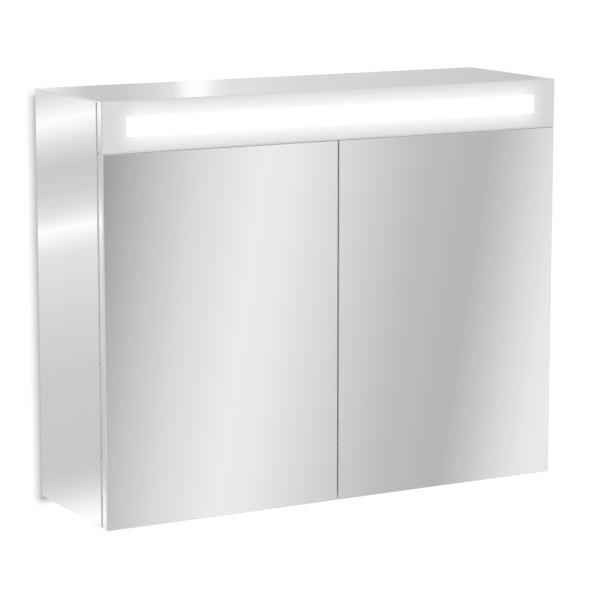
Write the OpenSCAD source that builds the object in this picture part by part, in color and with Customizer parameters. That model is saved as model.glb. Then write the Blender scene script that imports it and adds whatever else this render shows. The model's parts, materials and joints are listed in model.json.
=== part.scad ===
// Two-door mirror cabinet with a lit panel above the doors, hung on a wall.
// Sizes are in millimetres. X runs to the right, the doors face -Y and the wall is the plane Y = 0.
// Z = 0 is the screw line of the wall brackets. Modules measure heights from the underside instead,
// and from_bottom() moves them down to that frame.

/* [Cabinet] */
// Overall width
cab_w = 800; // [600:50:1200]
// Overall height
cab_h = 650; // [580:10:800]
// Overall depth, from the wall to the front of the doors
cab_d = 250; // [220:5:320]
// Drop from the top to the screw line of the wall brackets
hang_drop = 50; // [49:1:54]
// Thickness of the carcass boards
board_t = 16; // [15:1:19]
// Thickness of the mirrors on the sides and on the front
mirror_t = 4; // [3:1:6]
// Thickness of the sheet that covers the top
cover_t = 2; // [1:0.5:3]
// Thickness of the back panel
back_t = 4; // [3:1:8]
// Space between the back panel and the wall
wall_recess = 18; // [14:1:25]
// Depth of the grooves that hold the back panel
groove_d = 6; // [4:1:8]
// Height of the closed bay for the electrics, under the top board
bay_h = 66; // [64:1:90]
// Thickness of the cover that closes the bay from below
bay_lid_t = 6; // [4:1:10]
// Height of the batten behind the bay's cover
batten_h = 20; // [16:1:20]

/* [Doors] */
// Thickness of a door with its front mirror
door_t = 18; // [16:1:22]
// Shadow gap between the carcass and the front
shadow_gap = 5; // [5:0.25:6]
// Seam between the doors, and between the doors and the light panel
reveal = 2.5; // [2:0.5:4]
// Thickness of the mirror let into the back of a door
inner_mirror_t = 3; // [2:0.5:4]
// Border of the door beside that mirror
border_x = 40; // [34:1:80]
// Border of the door above and below that mirror
border_z = 25; // [15:1:60]
// Chamfer on the outer back edge of a door, which clears the carcass as the door swings
swing_chamfer = 1.5; // [1.4:0.1:2]
// Radius of the soft bumpers on the doors
bumper_r = 4; // [2:0.5:5]

/* [Hinges] */
// Number of hinges on each door
hinge_count = 3; // [2:1:4]
// Distance from a door's end to the middle of the nearest hinge
hinge_inset = 80; // [60:5:110]
// Length of one knuckle
knuckle_l = 20; // [14:1:26]
// Radius of the knuckles
knuckle_r = 2; // [1.8:0.1:2.1]
// Radius of the hinge pins
pin_r = 1; // [0.8:0.1:1.2]
// Distance from the cabinet's side to the middle of the pins
pin_inset = 2.2; // [2.2:0.1:2.4]
// Thickness of the hinge leaves
leaf_t = 1; // [0.8:0.1:1.2]
// Length of a frame leaf along the inside of the cabinet
frame_leaf_l = 22; // [16:1:30]
// Reach of a door leaf from the cabinet's side
door_leaf_w = 32; // [30:1:33]
// Radius of the small wood screws
small_screw_r = 1.25; // [1:0.25:1.5]
// Length of the small wood screws under their heads
small_screw_l = 11; // [8:1:12]
// Radius of the small screws' flat heads
small_head_r = 2.5; // [2:0.25:3]
// Thickness of the small screws' flat heads
small_head_t = 0.8; // [0.5:0.1:1.2]

/* [Light panel] */
// Height of the light panel
header_h = 76; // [70:1:90]
// Length left bare at each end of the lit window
window_side = 40; // [20:5:100]
// Bare height above the lit window
window_top = 25; // [15:1:30]
// Height of the lit window
window_h = 28; // [16:1:34]
// Wall thickness of the light panel's housing
housing_t = 2; // [1.5:0.5:3]
// Thickness of the diffuser behind the glass
diffuser_t = 2; // [1.5:0.5:3]
// Lap of the diffuser behind the glass, around the window
diffuser_lap = 5; // [3:1:8]
// Height of the light strip's circuit board
strip_h = 10; // [8:1:14]
// Thickness of that circuit board
strip_t = 1.6; // [1:0.2:2]
// Distance between two light chips
chip_pitch = 20; // [15:1:40]
// Radius of the spacers that hold the housing off the carcass
spacer_r = 8; // [6:0.5:10]
// Distance from the cabinet's sides to the outermost spacers
spacer_inset = 70; // [50:5:100]
// Number of spacers
spacer_count = 4; // [4:2:6]

/* [Shelves] */
// Thickness of the glass shelves
shelf_t = 6; // [5:1:8]
// Height of the lower shelves above the bottom board
lower_shelf_h = 177; // [120:1:200]
// Height of the upper shelves above the bottom board
upper_shelf_h = 360; // [260:1:380]
// Radius of the shelf pins
shelf_pin_r = 2.5; // [2:0.5:3]
// Distance from a shelf's front and back edges to its pins
shelf_pin_inset = 30; // [15:1:50]
// Step between the holes that a shelf can be moved to
hole_step = 32; // [25:1:40]

/* [Wall fixing] */
// Width of a wall bracket
bracket_w = 70; // [50:1:90]
// Thickness of the wall brackets' sheet
bracket_t = 2; // [1.5:0.5:3]
// Height between the two screw holes of a bracket
bracket_hole_pitch = 16; // [14:1:18]
// Radius of the brackets' screw holes
bracket_hole_r = 2.75; // [2:0.25:3.5]
// Width of the hanger bodies
hanger_w = 18; // [16:1:22]
// Depth of the hanger bodies
hanger_d = 50; // [40:1:60]
// Width of the steel hooks
hook_w = 10; // [8:1:12]
// Thickness of the steel hooks
hook_t = 2.5; // [2:0.5:3]

/* [Electrics] */
// Length of the driver for the light
driver_l = 140; // [100:5:180]
// Width of the driver
driver_w = 42; // [30:1:50]
// Height of the driver
driver_h = 24; // [18:1:30]
// Length of the terminal block
terminal_l = 36; // [24:1:60]
// Radius of the bore in the cable gland
gland_bore_r = 4; // [3:0.5:5]
// Distance of the cable gland from the middle
gland_x = 140; // [110:5:200]
// Radius of the wires in the bay
wire_r = 2; // [1.5:0.25:2.5]
// Width of the switch box
switch_w = 60; // [50:1:80]
// Depth of the switch box
switch_d = 50; // [40:1:60]
// Height of the switch box
switch_h = 40; // [34:1:50]
// Distance from the cabinet's inside wall to the middle of the switch box
switch_inset = 70; // [60:5:110]
// Wall thickness of the switch box
switch_t = 2.5; // [2:0.5:3]
// Width of the rocker
rocker_w = 20; // [16:1:24]
// Half height of the rocker
rocker_half_h = 6.8; // [5:0.2:8]
// Angle by which the rocker tips to each side
rocker_tip = 8; // [5:1:10]

/* [Push latches] */
// Width of a latch body
latch_w = 12; // [12:1:16]
// Height of a latch body
latch_h = 14; // [12:1:20]
// Length of a latch body
latch_l = 60; // [50:1:80]
// Radius of the plunger
plunger_r = 3; // [2:0.25:4]
// Length of the plunger
plunger_l = 36; // [30:1:40]
// Travel of the plunger when it is pressed
plunger_travel = 3; // [2:0.5:3]
// Thickness of the strike plate on the door
strike_t = 1; // [0.6:0.2:1.2]

/* [Hidden] */
$fn = 48;
LEFT = -1;
RIGHT = 1;
BOTH = [LEFT, RIGHT];

// Clearances
run_fit = 0.05;   // a pin in its bore, on the radius
snug = 0.2;       // a fixed piece in its groove, pocket or hole
slip = 0.3;       // between pieces that move past each other
past = 1;         // how far a cutter runs past the face that it opens
sunk = 1;         // how far a lug or tab of one moulding runs into its wall

// Depths, counted from the wall
door_back_y = -cab_d + door_t;
case_front_y = door_back_y + shadow_gap;
glass_back_y = -cab_d + mirror_t;
back_y = -wall_recess;
back_front_y = back_y - back_t;

// Widths, counted from the middle
side_x = cab_w / 2;
board_x = side_x - mirror_t;
inner_x = board_x - board_t;
half_board = board_t / 2;
mid_x = half_board;

// Heights, counted from the underside
hang_z = cab_h - hang_drop;
cover_z = cab_h - cover_t;
top_board_z = cover_z - board_t;
bay_z = top_board_z - bay_h;
bay_lid_z = bay_z - bay_lid_t;
header_z = cab_h - header_h;
door_h = header_z - reveal;

// Screws that join the carcass boards
joint_screw_r = 2.5;
joint_screw_l = 45;
joint_head_r = 4;
joint_head_t = 3;
joint_inset = 45;
joint_ys = [case_front_y + joint_inset, back_front_y - joint_inset];
rail_mid_y = case_front_y + half_board;
batten_mid_y = back_front_y - half_board;
side_joints = concat([for (y = joint_ys, z = [half_board, top_board_z + half_board]) [y, z]],
                     [for (part = [1, 3]) [rail_mid_y, bay_z + part * bay_h / 4]],
                     [[batten_mid_y, bay_z + batten_h / 2]]);

// Screws that hold the bay's cover
lid_screw_inset = 60;
lid_screw_l = 22;
lid_screws = [for (side = BOTH, y = [rail_mid_y, batten_mid_y]) [side * (inner_x - lid_screw_inset), y]];

// Hinges
hinge_pitch = (door_h - 2 * hinge_inset) / (hinge_count - 1);
hinge_zs = [for (i = [0 : hinge_count - 1]) hinge_inset + i * hinge_pitch];
hinge_l = 3 * knuckle_l + 2 * slip;
knuckle_clear = 0.5;
leaf_screw_edge = 6;
leaf_screw_end = 11;
pin_x = side_x - pin_inset;
pin_y = door_back_y + shadow_gap / 2;
leaf_x = pin_x - knuckle_r - knuckle_clear;
leaf_screw_z = hinge_l / 2 - leaf_screw_end;
frame_screw_y = case_front_y + frame_leaf_l - leaf_screw_edge;
door_screw_x = side_x - door_leaf_w + leaf_screw_edge;
pin_head_r = 1.7;
pin_head_t = 0.8;

// Doors, drawn for the right-hand side
door_x0 = reveal / 2;
latch_x = mid_x + latch_w / 2;
latch_z = door_h / 2;
strike_w = 12;
strike_h = 24;
bumper_edge = 1.5;
bumper_zs = [half_board, door_h - bumper_r - bumper_edge];

// Light panel
window_x = side_x - window_side;
window_z1 = cab_h - window_top;
window_z0 = window_z1 - window_h;
window_mid_z = (window_z0 + window_z1) / 2;
housing_x = side_x - housing_t;
housing_back_y = door_back_y - housing_t;
chip_size = [5, 0.8, 3];
chip_count = floor((2 * window_x - chip_pitch) / chip_pitch);
spacer_rise = 20;
spacer_z = bay_z + spacer_rise;
spacer_pitch = 2 * (side_x - spacer_inset) / (spacer_count - 1);
spacer_xs = [for (i = [0 : spacer_count - 1]) i * spacer_pitch - (side_x - spacer_inset)];
header_screw_r = 2;
header_screw_end = 3;
header_screw_l = board_t + shadow_gap + housing_t + header_screw_end;
header_head_r = 4;
header_head_t = 2.5;

// Shelves
shelf_side_gap = 1;
shelf_end_gap = 2;
shelf_front_y = case_front_y + frame_leaf_l + shelf_end_gap;
shelf_back_y = back_front_y - shelf_end_gap;
shelf_heights = [lower_shelf_h, upper_shelf_h];
shelf_pin_in = 6;
shelf_pin_out = 8;
shelf_pin_ys = [shelf_front_y + shelf_pin_inset, shelf_back_y - shelf_pin_inset];

// Wall brackets and hangers
bracket_side_gap = 2;
bracket_below = 10;
bracket_above = 6;
bracket_x1 = inner_x - bracket_side_gap;
bracket_x0 = bracket_x1 - bracket_w;
bracket_hole_x = (bracket_x0 + bracket_x1) / 2;
bracket_low_z = hang_z - bracket_hole_pitch / 2 - bracket_below;
ledge_z = hang_z + bracket_hole_pitch / 2 + bracket_above;
ledge_d = 10;
upstand_h = 14;
hook_z = ledge_z + upstand_h;
hook_x1 = inner_x - (hanger_w - hook_w) / 2;
hook_x0 = hook_x1 - hook_w;
hook_play = 2.5;
hook_tip_y = -bracket_t - hook_play;
hook_drop = 9;
hook_slot_play = 1;
hook_set_in = 10;
hanger_below = 2;
hanger_above = 0.5;
hanger_z0 = bay_z + batten_h + hanger_below;
hanger_z1 = top_board_z - hanger_above;
hanger_screw_rise = 12;
hanger_screw_ys = [for (part = [1, 3]) back_front_y - part * hanger_d / 4];

// Electrics
gland_rise = 16;
gland_z = bay_z + batten_h + gland_rise;
gland_r = 7;
gland_flange_r = 10;
gland_flange_t = 3;
gland_in = 12;
gland_nut_t = 5;
driver_x1 = 10;
driver_x0 = driver_x1 - driver_l;
driver_ear_l = 8;
driver_ear_t = 3;
driver_y = (case_front_y + board_t + back_front_y) / 2;
terminal_gap = 50;
terminal_x0 = driver_x1 + terminal_gap;
terminal_x1 = terminal_x0 + terminal_l;
terminal_w = 22;
terminal_h = 18;
terminal_ways = 3;
terminal_hole_r = 3;
terminal_hole_d = 6;
wire_z = bay_z + terminal_h / 2;
switch_x = inner_x - switch_inset;
switch_y0 = driver_y - switch_d / 2;
switch_y1 = switch_y0 + switch_d;
switch_z0 = bay_lid_z - switch_h;
switch_tab_w = 12;
switch_tab_t = 3;
switch_tab_half_d = 8;
switch_tab_x = (switch_w + switch_tab_w) / 2;
tab_screw_end = 1;
rocker_z = bay_lid_z - switch_h / 2;
rocker_back = 3.5;
rocker_proud = 1.5;
rocker_y = switch_y0 + rocker_back;
rocker_depth = rocker_back + rocker_proud;
rocker_ear = 1;
rocker_edge_y = -1;
rocker_foot_y = 2.5;
rocker_foot_half = 3;
rocker_axle_r = 1.5;
rocker_lug_w = 3;
rocker_lug_half = 4;
rocker_slot_half = rocker_half_h * cos(rocker_tip) + (rocker_depth + rocker_ear) * sin(rocker_tip) + slip;
wire_hole_play = 1.5;
wire_bend_inner_r = 1.6;
wire_hole_r = wire_r + wire_hole_play;
wire_bend_r = wire_r + wire_bend_inner_r;
switch_wire_gap = 8;
switch_wire_z = rocker_z + switch_wire_gap;

// Plungers, drawn for the right-hand side
plunger_spare = 1;
plunger_tip_y = door_back_y + strike_t + slip;
plunger_end_y = plunger_tip_y + plunger_l;

// A box between two opposite corners
module block(lo, hi) {
    translate(lo)
        cube(hi - lo);
}

// Moves a shape drawn above the underside down to the wall brackets' frame
module from_bottom() {
    translate([0, 0, -hang_z])
        children();
}

// A shape drawn for the right-hand side, put on either side
module on_side(side) {
    if (side == LEFT)
        mirror([1, 0, 0])
            children();
    else
        children();
}

// A cylinder along X, from x0 to x1
module rod_x(x0, x1, r) {
    translate([x0, 0, 0])
        rotate([0, 90, 0])
            cylinder(h = x1 - x0, r = r);
}

// A cylinder along Y, from y0 to y1
module rod_y(y0, y1, r) {
    translate([0, y1, 0])
        rotate([90, 0, 0])
            cylinder(h = y1 - y0, r = r);
}

// A cylinder along Z, from z0 to z1
module rod_z(z0, z1, r) {
    translate([0, 0, z0])
        cylinder(h = z1 - z0, r = r);
}

// A profile drawn in Y and Z, drawn out along X
module along_x(x0, x1) {
    translate([x0, 0, 0])
        rotate([90, 0, 90])
            linear_extrude(height = x1 - x0)
                children();
}

// ---- carcass ----

// The screws through the right-hand side board, grown by fit where they are cut out of a board
module side_joint_screws(fit) {
    for (joint = side_joints)
        translate([0, joint[0], joint[1]]) {
            rod_x(board_x - joint_head_t - fit, board_x, joint_head_r + fit);
            rod_x(board_x - joint_screw_l - fit, board_x, joint_screw_r + fit);
        }
}

// The screws up through the bottom board into the partition
module partition_screws(fit) {
    for (y = joint_ys)
        translate([0, y, 0]) {
            rod_z(0, joint_head_t + fit, joint_head_r + fit);
            rod_z(0, joint_screw_l + fit, joint_screw_r + fit);
        }
}

module all_joint_screws(fit) {
    for (side = BOTH)
        on_side(side)
            side_joint_screws(fit);
    partition_screws(fit);
}

// The screws up through the bay's cover into the front rail and the rear batten
module lid_screws_all(fit) {
    for (at = lid_screws)
        translate([at[0], at[1], 0]) {
            rod_z(bay_lid_z, bay_lid_z + joint_head_t + fit, joint_head_r + fit);
            rod_z(bay_lid_z, bay_lid_z + lid_screw_l + fit, joint_screw_r + fit);
        }
}

// The space of the back panel, grown by fit where it is cut as a groove
module back_panel_space(fit) {
    reach = inner_x + groove_d + fit;
    block([-reach, back_front_y - fit, board_t - groove_d - fit],
          [reach, back_y + fit, top_board_z + groove_d + fit]);
}

// Blind holes for shelf pins, bored towards +X into a board whose face is at face_x
module shelf_pin_holes(face_x) {
    for (h = shelf_heights, step = [-1 : 1], y = shelf_pin_ys)
        translate([0, y, board_t + h - shelf_pin_r + step * hole_step])
            rod_x(face_x - past, face_x + shelf_pin_in + snug, shelf_pin_r + run_fit);
}

// Small screws that hold the frame leaves on the inside of the right-hand side board
module frame_leaf_screws(fit) {
    for (z = hinge_zs, end = BOTH)
        translate([0, frame_screw_y, z + end * leaf_screw_z])
            rod_x(inner_x - leaf_t, inner_x - leaf_t + small_screw_l + fit, small_screw_r + fit);
}

module side_panel(side) {
    color("white")
        from_bottom()
            on_side(side)
                difference() {
                    block([inner_x, case_front_y, 0], [board_x, 0, cover_z]);
                    back_panel_space(snug);
                    side_joint_screws(snug);
                    frame_leaf_screws(snug);
                    shelf_pin_holes(inner_x);
                    hanger_screws_side(snug);
                }
}

module side_panel_left() side_panel(LEFT);
module side_panel_right() side_panel(RIGHT);

module side_mirror(side) {
    color("lightsteelblue")
        from_bottom()
            on_side(side)
                block([board_x, case_front_y, 0], [side_x, 0, cover_z]);
}

module side_mirror_left() side_mirror(LEFT);
module side_mirror_right() side_mirror(RIGHT);

module bottom_panel() {
    color("white")
        from_bottom()
            difference() {
                block([-inner_x, case_front_y, 0], [inner_x, 0, board_t]);
                back_panel_space(snug);
                all_joint_screws(snug);
            }
}

module top_panel() {
    color("white")
        from_bottom()
            difference() {
                block([-inner_x, case_front_y, top_board_z], [inner_x, 0, cover_z]);
                back_panel_space(snug);
                all_joint_screws(snug);
            }
}

module centre_partition() {
    color("white")
        from_bottom()
            difference() {
                block([-mid_x, case_front_y, board_t], [mid_x, back_front_y, bay_lid_z]);
                partition_screws(snug);
                for (side = BOTH)
                    on_side(side)
                        mirror([1, 0, 0])
                            shelf_pin_holes(-mid_x);
            }
}

module front_rail() {
    color("white")
        from_bottom()
            difference() {
                block([-inner_x, case_front_y, bay_z], [inner_x, case_front_y + board_t, top_board_z]);
                all_joint_screws(snug);
                lid_screws_all(snug);
                header_screw_holes();
                light_wire_hole();
            }
}

module rear_batten() {
    color("white")
        from_bottom()
            difference() {
                block([-inner_x, back_front_y - board_t, bay_z], [inner_x, back_front_y, bay_z + batten_h]);
                all_joint_screws(snug);
                lid_screws_all(snug);
            }
}

module back_panel() {
    color("whitesmoke")
        from_bottom()
            difference() {
                back_panel_space(0);
                for (side = BOTH)
                    on_side(side)
                        block([hook_x0 - hook_slot_play, back_front_y - past,
                               hook_z - hook_drop - hook_slot_play],
                              [hook_x1 + hook_slot_play, back_y + past,
                               hook_z + hook_t + hook_slot_play]);
                translate([gland_x, 0, gland_z])
                    rod_y(back_front_y - past, back_y + past, gland_r + snug);
            }
}

module electrics_cover() {
    color("white")
        from_bottom()
            difference() {
                block([-inner_x + slip, case_front_y, bay_lid_z],
                      [inner_x - slip, back_front_y - slip, bay_z]);
                lid_screws_all(snug);
                switch_tab_screws(snug);
                translate([switch_x, driver_y, 0])
                    rod_z(bay_lid_z - past, bay_z + past, wire_hole_r);
            }
}

module electrics_cover_screws() {
    color("silver")
        from_bottom() {
            lid_screws_all(0);
            switch_tab_screws(0);
            translate([switch_x, 0, bay_lid_z - switch_tab_t])
                for (side = BOTH)
                    translate([side * switch_tab_x, driver_y, 0])
                        rod_z(-small_head_t, 0, small_head_r);
        }
}

module top_cover() {
    color("gainsboro")
        from_bottom()
            block([-side_x, glass_back_y, cover_z], [side_x, 0, cab_h]);
}

module carcass_screws() {
    color("silver")
        from_bottom()
            all_joint_screws(0);
}

// ---- light panel ----

module header_housing() {
    color("silver")
        from_bottom()
            difference() {
                block([-housing_x, glass_back_y, header_z], [housing_x, door_back_y, cover_z]);
                block([-housing_x - past, glass_back_y - past, header_z + housing_t],
                      [housing_x + past, housing_back_y, cover_z - housing_t]);
                header_screw_holes();
                light_wire_hole();
            }
}

module header_glass() {
    color("lightgray")
        from_bottom()
            difference() {
                block([-side_x, -cab_d, header_z], [side_x, glass_back_y, cab_h]);
                block([-window_x, -cab_d - past, window_z0], [window_x, glass_back_y + past, window_z1]);
            }
}

module header_end_caps() {
    color("silver")
        from_bottom()
            for (side = BOTH)
                on_side(side)
                    block([housing_x, glass_back_y, header_z], [side_x, door_back_y, cover_z]);
}

// The holes of the screws that hold the housing, through the rail, the spacers and its back wall
module header_screw_holes() {
    for (x = spacer_xs)
        translate([x, 0, spacer_z])
            rod_y(glass_back_y + past, case_front_y + board_t + past, header_screw_r + snug);
}

// The hole that takes the light's wire from the bay into the housing
module light_wire_hole() {
    translate([0, 0, spacer_z])
        rod_y(glass_back_y + past, case_front_y + board_t + past, wire_hole_r);
}

module header_spacers() {
    color("dimgray")
        from_bottom()
            difference() {
                for (x = concat(spacer_xs, [0]))
                    translate([x, 0, spacer_z])
                        rod_y(door_back_y, case_front_y, spacer_r);
                header_screw_holes();
                light_wire_hole();
            }
}

module header_screws() {
    color("silver")
        from_bottom()
            for (x = spacer_xs)
                translate([x, case_front_y + board_t, spacer_z]) {
                    rod_y(-header_screw_l, 0, header_screw_r);
                    rod_y(0, header_head_t, header_head_r);
                }
}

module light_diffuser() {
    color("white")
        from_bottom() {
            block([-window_x - diffuser_lap, glass_back_y, window_z0 - diffuser_lap],
                  [window_x + diffuser_lap, glass_back_y + diffuser_t, window_z1 + diffuser_lap]);
            block([-window_x + snug, -cab_d, window_z0 + snug],
                  [window_x - snug, glass_back_y, window_z1 - snug]);
        }
}

module led_board() {
    color("ivory")
        from_bottom()
            block([-window_x, housing_back_y - strip_t, window_mid_z - strip_h / 2],
                  [window_x, housing_back_y, window_mid_z + strip_h / 2]);
}

module led_chips() {
    color("gold")
        from_bottom()
            for (i = [0 : chip_count - 1])
                translate([(i - (chip_count - 1) / 2) * chip_pitch,
                           housing_back_y - strip_t - chip_size[1] / 2, window_mid_z])
                    cube(chip_size, center = true);
}

// ---- electrics in the bay ----

module led_driver() {
    color("whitesmoke")
        from_bottom()
            difference() {
                union() {
                    block([driver_x0 + driver_ear_l, driver_y - driver_w / 2, bay_z],
                          [driver_x1 - driver_ear_l, driver_y + driver_w / 2, bay_z + driver_h]);
                    block([driver_x0, driver_y - driver_w / 2, bay_z],
                          [driver_x1, driver_y + driver_w / 2, bay_z + driver_ear_t]);
                }
                for (x = [driver_x0 + driver_ear_l / 2, driver_x1 - driver_ear_l / 2], side = BOTH)
                    translate([x, driver_y + side * driver_w / 3, 0])
                        rod_z(bay_z - past, bay_z + driver_ear_t + past, joint_screw_r);
            }
}

module terminal_block() {
    color("white")
        from_bottom()
            difference() {
                block([terminal_x0, driver_y - terminal_w / 2, bay_z],
                      [terminal_x1, driver_y + terminal_w / 2, bay_z + terminal_h]);
                for (i = [0 : terminal_ways - 1])
                    translate([terminal_x0 + (i + 0.5) * terminal_l / terminal_ways, driver_y, 0])
                        rod_z(bay_z + terminal_h - terminal_hole_d, bay_z + terminal_h + past,
                              terminal_hole_r);
            }
}

// A quarter ring of wire from the X axis to the Y axis, about the origin
module wire_bend() {
    rotate_extrude(angle = 90)
        translate([wire_bend_r, 0])
            circle(r = wire_r);
}

// The wires from the terminal block: to the driver, from there to the light, and to the switch
module wiring() {
    rise_y = housing_back_y - strip_t - wire_r;
    color("gainsboro")
        from_bottom() {
            translate([0, driver_y, wire_z])
                rod_x(driver_x1 - driver_ear_l, terminal_x0, wire_r);
            translate([0, 0, spacer_z])
                rod_y(rise_y + wire_bend_r, driver_y - driver_w / 2, wire_r);
            translate([0, rise_y + wire_bend_r, spacer_z + wire_bend_r])
                rotate([90, 0, 90])
                    rotate([0, 0, 180])
                        wire_bend();
            translate([0, rise_y, 0])
                rod_z(spacer_z + wire_bend_r, window_mid_z - strip_h / 2 + wire_r, wire_r);
            translate([0, driver_y, wire_z])
                rod_x(terminal_x1, switch_x - wire_bend_r, wire_r);
            translate([switch_x - wire_bend_r, driver_y, wire_z - wire_bend_r])
                rotate([90, 0, 0])
                    wire_bend();
            translate([switch_x, driver_y, 0])
                rod_z(switch_wire_z, wire_z - wire_bend_r, wire_r);
        }
}

module cable_gland() {
    color("dimgray")
        from_bottom()
            translate([gland_x, 0, gland_z]) {
                difference() {
                    union() {
                        rod_y(back_front_y - gland_in, back_y, gland_r);
                        rod_y(back_y, back_y + gland_flange_t, gland_flange_r);
                    }
                    rod_y(back_front_y - gland_in - past, back_y + gland_flange_t + past, gland_bore_r);
                }
                difference() {
                    rod_y(back_front_y - gland_nut_t, back_front_y, gland_flange_r);
                    rod_y(back_front_y - gland_nut_t - past, back_front_y + past, gland_r + run_fit);
                }
            }
}

// ---- wall brackets and hangers ----

// The section of a bracket: a web on the wall, a ledge and an upstand that the hook drops behind
module bracket_section() {
    polygon([[0, bracket_low_z], [-bracket_t, bracket_low_z], [-bracket_t, ledge_z],
             [-ledge_d + bracket_t, ledge_z], [-ledge_d, ledge_z], [-ledge_d, hook_z],
             [-ledge_d + bracket_t, hook_z], [-ledge_d + bracket_t, ledge_z + bracket_t],
             [0, ledge_z + bracket_t]]);
}

module wall_brackets() {
    color("silver")
        from_bottom()
            for (side = BOTH)
                on_side(side)
                    difference() {
                        along_x(bracket_x0, bracket_x1)
                            bracket_section();
                        for (up = BOTH)
                            translate([bracket_hole_x, 0, hang_z + up * bracket_hole_pitch / 2])
                                rod_y(-bracket_t - past, past, bracket_hole_r);
                    }
}

// A hook, grown by fit where it is cut out of the hanger body
module hook(fit) {
    block([hook_x0 - fit, back_front_y - hanger_d + hook_set_in - fit, hook_z - fit],
          [hook_x1 + fit, hook_tip_y, hook_z + hook_t + fit]);
    block([hook_x0, hook_tip_y - hook_t, hook_z - hook_drop], [hook_x1, hook_tip_y, hook_z]);
}

module hanger_bodies() {
    color("white")
        from_bottom()
            for (side = BOTH)
                on_side(side)
                    difference() {
                        block([inner_x - hanger_w, back_front_y - hanger_d, hanger_z0],
                              [inner_x, back_front_y, hanger_z1]);
                        hook(snug);
                        hanger_screws_side(snug);
                    }
}

module hanger_hooks() {
    color("silver")
        from_bottom()
            for (side = BOTH)
                on_side(side)
                    hook(0);
}

// The two screws that hold a hanger body on the right-hand side board
module hanger_screws_side(fit) {
    for (y = hanger_screw_ys)
        translate([0, y, hanger_z0 + hanger_screw_rise])
            rod_x(inner_x - hanger_w, inner_x + small_screw_l + fit, small_screw_r + fit);
}

module hanger_screws() {
    color("silver")
        from_bottom()
            for (side = BOTH)
                on_side(side) {
                    hanger_screws_side(0);
                    for (y = hanger_screw_ys)
                        translate([0, y, hanger_z0 + hanger_screw_rise])
                            rod_x(inner_x - hanger_w - small_head_t, inner_x - hanger_w, small_head_r);
                }
}

// ---- shelves ----

module shelf(side, h) {
    color("paleturquoise", 0.5)
        from_bottom()
            on_side(side)
                block([mid_x + shelf_side_gap, shelf_front_y, board_t + h],
                      [inner_x - shelf_side_gap, shelf_back_y, board_t + h + shelf_t]);
}

module shelf_left_lower() shelf(LEFT, lower_shelf_h);
module shelf_left_upper() shelf(LEFT, upper_shelf_h);
module shelf_right_lower() shelf(RIGHT, lower_shelf_h);
module shelf_right_upper() shelf(RIGHT, upper_shelf_h);

module shelf_pins() {
    color("silver")
        from_bottom()
            for (side = BOTH, h = shelf_heights, y = shelf_pin_ys)
                on_side(side)
                    translate([0, y, board_t + h - shelf_pin_r]) {
                        rod_x(inner_x - shelf_pin_out, inner_x + shelf_pin_in, shelf_pin_r);
                        rod_x(mid_x - shelf_pin_in, mid_x + shelf_pin_out, shelf_pin_r);
                    }
}

// ---- switch ----

// Screws up through the switch box's tabs into the bay's cover
module switch_tab_screws(fit) {
    for (side = BOTH)
        translate([switch_x + side * switch_tab_x, driver_y, 0])
            rod_z(bay_lid_z - switch_tab_t, bay_z - tab_screw_end + fit, small_screw_r + fit);
}

module switch_box() {
    half_w = switch_w / 2;
    slot_w = rocker_w / 2 + slip;
    lug_y = switch_y0 + switch_t;
    color("white")
        from_bottom()
            difference() {
                union() {
                    difference() {
                        block([switch_x - half_w, switch_y0, switch_z0],
                              [switch_x + half_w, switch_y1, bay_lid_z]);
                        block([switch_x - half_w + switch_t, lug_y, switch_z0 + switch_t],
                              [switch_x + half_w - switch_t, switch_y1 - switch_t, bay_lid_z + past]);
                        block([switch_x - slot_w, switch_y0 - past, rocker_z - rocker_slot_half],
                              [switch_x + slot_w, lug_y + past, rocker_z + rocker_slot_half]);
                    }
                    for (side = BOTH)
                        translate([switch_x + side * (slot_w + rocker_lug_w / 2), 0, rocker_z])
                            block([-rocker_lug_w / 2, switch_y0 + sunk, -rocker_lug_half],
                                  [rocker_lug_w / 2, rocker_y + rocker_lug_half, rocker_lug_half]);
                    for (side = BOTH)
                        translate([switch_x, driver_y, 0])
                            on_side(side)
                                block([half_w - sunk, -switch_tab_half_d, bay_lid_z - switch_tab_t],
                                      [half_w + switch_tab_w, switch_tab_half_d, bay_lid_z]);
                }
                switch_tab_screws(snug);
                translate([switch_x, rocker_y, rocker_z])
                    rod_x(-slot_w - rocker_lug_w - past, slot_w + rocker_lug_w + past,
                          rocker_axle_r + run_fit);
            }
}

module switch_rocker() {
    top_z = rocker_half_h;
    front_y = -rocker_depth;
    axle_half = rocker_w / 2 + slip + rocker_lug_w;
    color("whitesmoke")
        from_bottom()
            translate([switch_x, rocker_y, rocker_z])
                rotate([-rocker_tip, 0, 0]) {
                    along_x(-rocker_w / 2, rocker_w / 2)
                        polygon([[front_y, 0], [front_y - rocker_ear, top_z], [rocker_edge_y, top_z],
                                 [rocker_foot_y, rocker_foot_half], [rocker_foot_y, -rocker_foot_half],
                                 [rocker_edge_y, -top_z], [front_y - rocker_ear, -top_z]]);
                    rod_x(-axle_half, axle_half, rocker_axle_r);
                }
}

// ---- push latches ----

module latch_body(side) {
    color("white")
        from_bottom()
            on_side(side)
                difference() {
                    block([mid_x, case_front_y, latch_z - latch_h / 2],
                          [mid_x + latch_w, case_front_y + latch_l, latch_z + latch_h / 2]);
                    translate([latch_x, 0, latch_z])
                        rod_y(case_front_y - past, plunger_end_y + plunger_travel + plunger_spare,
                              plunger_r + run_fit);
                }
}

module latch_body_left() latch_body(LEFT);
module latch_body_right() latch_body(RIGHT);

module latch_plunger(side) {
    color("gray")
        from_bottom()
            on_side(side)
                translate([latch_x, 0, latch_z])
                    rod_y(plunger_tip_y, plunger_end_y, plunger_r);
}

module latch_plunger_left() latch_plunger(LEFT);
module latch_plunger_right() latch_plunger(RIGHT);

// ---- hinges ----

// The bore of the hinge pins through every knuckle
module pin_bores() {
    for (z = hinge_zs)
        translate([pin_x, pin_y, z])
            rod_z(-hinge_l / 2 - past, hinge_l / 2 + past, pin_r + run_fit);
}

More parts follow.
